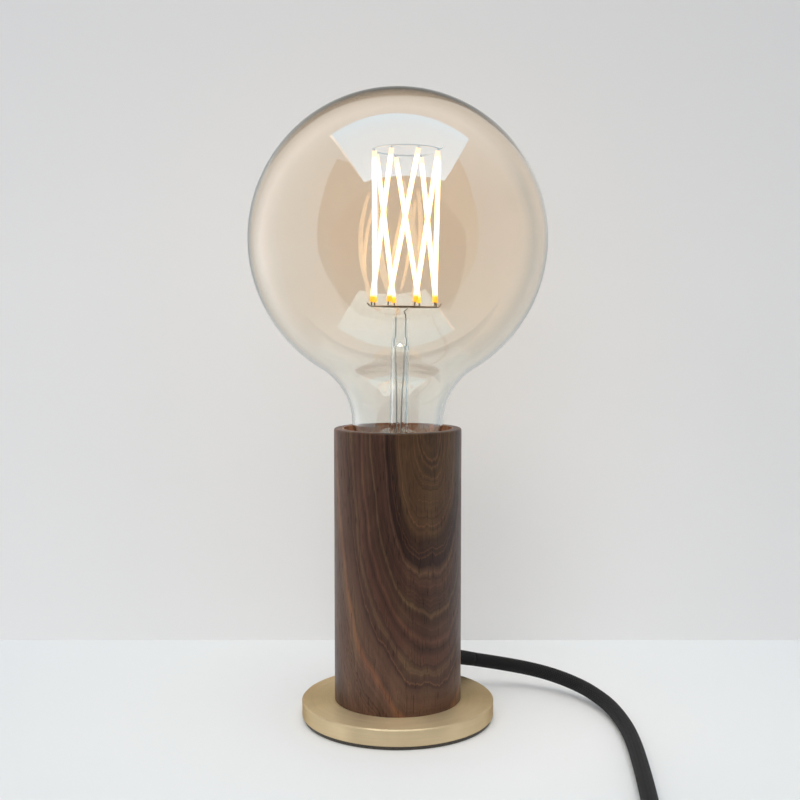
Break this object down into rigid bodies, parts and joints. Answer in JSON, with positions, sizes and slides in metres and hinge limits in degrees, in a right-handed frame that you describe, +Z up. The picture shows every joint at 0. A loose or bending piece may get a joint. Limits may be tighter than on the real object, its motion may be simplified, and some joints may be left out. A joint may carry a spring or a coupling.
{
  "type": "table lamp",
  "caption": "Table lamp with a round wooden column on a metal disc, a bare clear globe bulb in a hidden lampholder, and a braided cord with a rocker switch and plug.",
  "frame": {"origin": "middle of the pad's lower face, on the table, on the column's axis", "axes": "+Z up along the column; -Y is the side that faces the viewer in the picture; +X is the viewer's right"},
  "size_m": [0.1646, 0.3011, 0.2657],
  "materials": {
    "pad": "thin dark pad, matt",
    "brass_disc": "satin brass with fine brushing and a bright edge",
    "steel": "zinc plated screws and washer",
    "walnut": "dark walnut, open pores, thin oil finish",
    "brass_fittings": "turned brass",
    "white_plastic": "moulded white plastic",
    "black_rubber": "soft black moulding",
    "braid": "black textile braid over a round sheath",
    "wire_insulation": "brown and blue wire insulation",
    "black_bakelite": "black moulded resin",
    "ceramic": "glazed white ceramic",
    "contact_brass": "sprung contact strip",
    "cap_metal": "nickel-bright rolled metal",
    "solder": "solder dome on the centre contact",
    "black_glass": "black insulating glass",
    "circuit_board": "printed board",
    "black_parts": "driver components",
    "clear_glass": "clear blown glass with a faint amber tint",
    "stem_glass": "clear pressed stem glass",
    "cage_wire": "bare support wire",
    "glowing_stick": "yellow coated light stick, glowing",
    "black_plastic": "fine textured black plastic",
    "rocker_plastic": "smooth black plastic",
    "plug_rubber": "moulded black plug",
    "pin_metal": "nickel plated pins"
  },
  "bodies": {
    "lamp": {"base_pad": "pad", "base_disc": "brass_disc", "base_screws": "steel", "column": "walnut", "support_tube": "brass_fittings", "tube_nuts": "brass_fittings", "tube_washer": "steel", "clamp_block": "white_plastic", "clamp_bridge": "white_plastic", "clamp_screws": "steel", "cord_sleeve": "black_rubber", "inner_cord": "braid", "inner_wires": "wire_insulation", "holder_body": "black_bakelite", "holder_block": "ceramic", "terminal_screws": "brass_fittings", "holder_contact": "contact_brass", "holder_shell": "cap_metal", "holder_skirt": "black_bakelite", "cord_from_lamp": "braid", "switch_base": "black_plastic", "switch_cover": "black_plastic", "switch_pin": "steel", "switch_contacts": "contact_brass", "switch_wires": "wire_insulation", "switch_clamps": "white_plastic", "switch_screws": "steel", "cord_to_coil": "braid", "cord_coil": "braid", "cord_to_plug": "braid", "plug_body": "plug_rubber", "plug_tail": "plug_rubber", "plug_pins": "pin_metal", "pin_sleeves": "black_plastic"},
    "bulb_lift": {"bulb_button": "solder"},
    "bulb": {"bulb_insulator": "black_glass", "bulb_cap": "cap_metal", "driver_board": "circuit_board", "driver_parts": "black_parts", "bulb_glass": "clear_glass", "bulb_stem": "stem_glass", "lead_wires": "cage_wire", "foot_rings": "cage_wire", "crown_ring": "cage_wire", "light_sticks": "glowing_stick", "stick_tabs": "cage_wire"},
    "rocker": {"switch_rocker": "rocker_plastic", "switch_bridge": "contact_brass"}
  },
  "joints": [
    {"name": "bulb_rise", "type": "slide", "parent": "lamp", "child": "bulb_lift", "axis": [0, 0, 1], "range_m": [0, 0.0109]},
    {"name": "bulb_turn", "type": "hinge", "parent": "bulb_lift", "child": "bulb", "pos_m": [0, 0, 0.1], "axis": [0, 0, 1], "range_deg": [0, 1080]},
    {"name": "switch_rock", "type": "hinge", "parent": "lamp", "child": "rocker", "pos_m": [0.084, -0.168, 0.0135], "axis": [1, 0, 0], "range_deg": [0, 16]}
  ],
  "couplings": [
    {"joint": "bulb_rise", "follows": "bulb_turn", "m_per_rad": 0.00057757}
  ]
}
